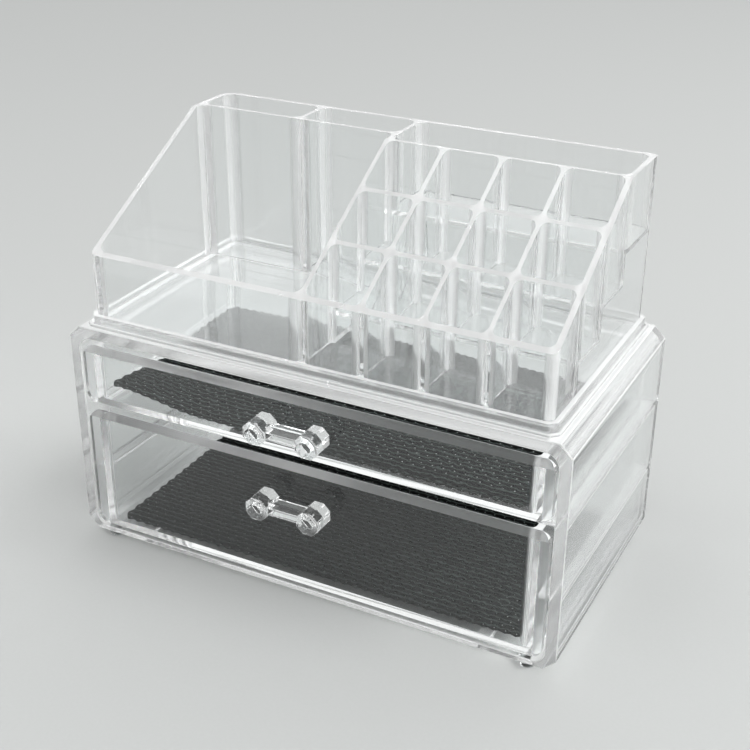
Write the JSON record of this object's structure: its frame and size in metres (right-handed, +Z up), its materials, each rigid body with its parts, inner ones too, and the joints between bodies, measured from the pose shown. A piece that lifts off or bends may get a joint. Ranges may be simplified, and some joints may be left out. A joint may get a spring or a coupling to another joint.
{
  "type": "clear make-up storage case",
  "caption": "Clear plastic make-up storage case: a drawer case with faceted pulls and mesh mats, and a lift-off divided tray with a stepped lipstick grid and tall rear rooms.",
  "frame": {"origin": "under the middle of the whole object, on the plane that the feet stand on", "axes": "+X to the right seen from the front, +Y from the drawer fronts to the back, +Z up"},
  "size_m": [0.238, 0.1374, 0.1885],
  "materials": {
    "clear_plastic": "clear, polished",
    "clear_handle": "clear, polished, faceted",
    "clear_foot": "clear, soft",
    "black_mesh": "coated open mesh, matt"
  },
  "bodies": {
    "case": {"case_shell": "clear_plastic", "foot_front_left": "clear_foot", "foot_front_right": "clear_foot", "foot_rear_left": "clear_foot", "foot_rear_right": "clear_foot"},
    "upper_drawer_unit": {"upper_drawer": "clear_plastic", "upper_handle": "clear_handle", "upper_mat": "black_mesh"},
    "lower_drawer_unit": {"lower_drawer": "clear_plastic", "lower_handle": "clear_handle", "lower_mat": "black_mesh"},
    "tray_unit": {"tray_rooms": "clear_plastic", "tray_grid": "clear_plastic"}
  },
  "joints": [
    {"name": "upper_drawer_slide", "type": "slide", "parent": "case", "child": "upper_drawer_unit", "axis": [0, -1, 0], "range_m": [0, 0.1]},
    {"name": "lower_drawer_slide", "type": "slide", "parent": "case", "child": "lower_drawer_unit", "axis": [0, -1, 0], "range_m": [0, 0.1]},
    {"name": "tray_lift", "type": "slide", "parent": "case", "child": "tray_unit", "axis": [0, 0, 1], "range_m": [0, 0.04]}
  ]
}
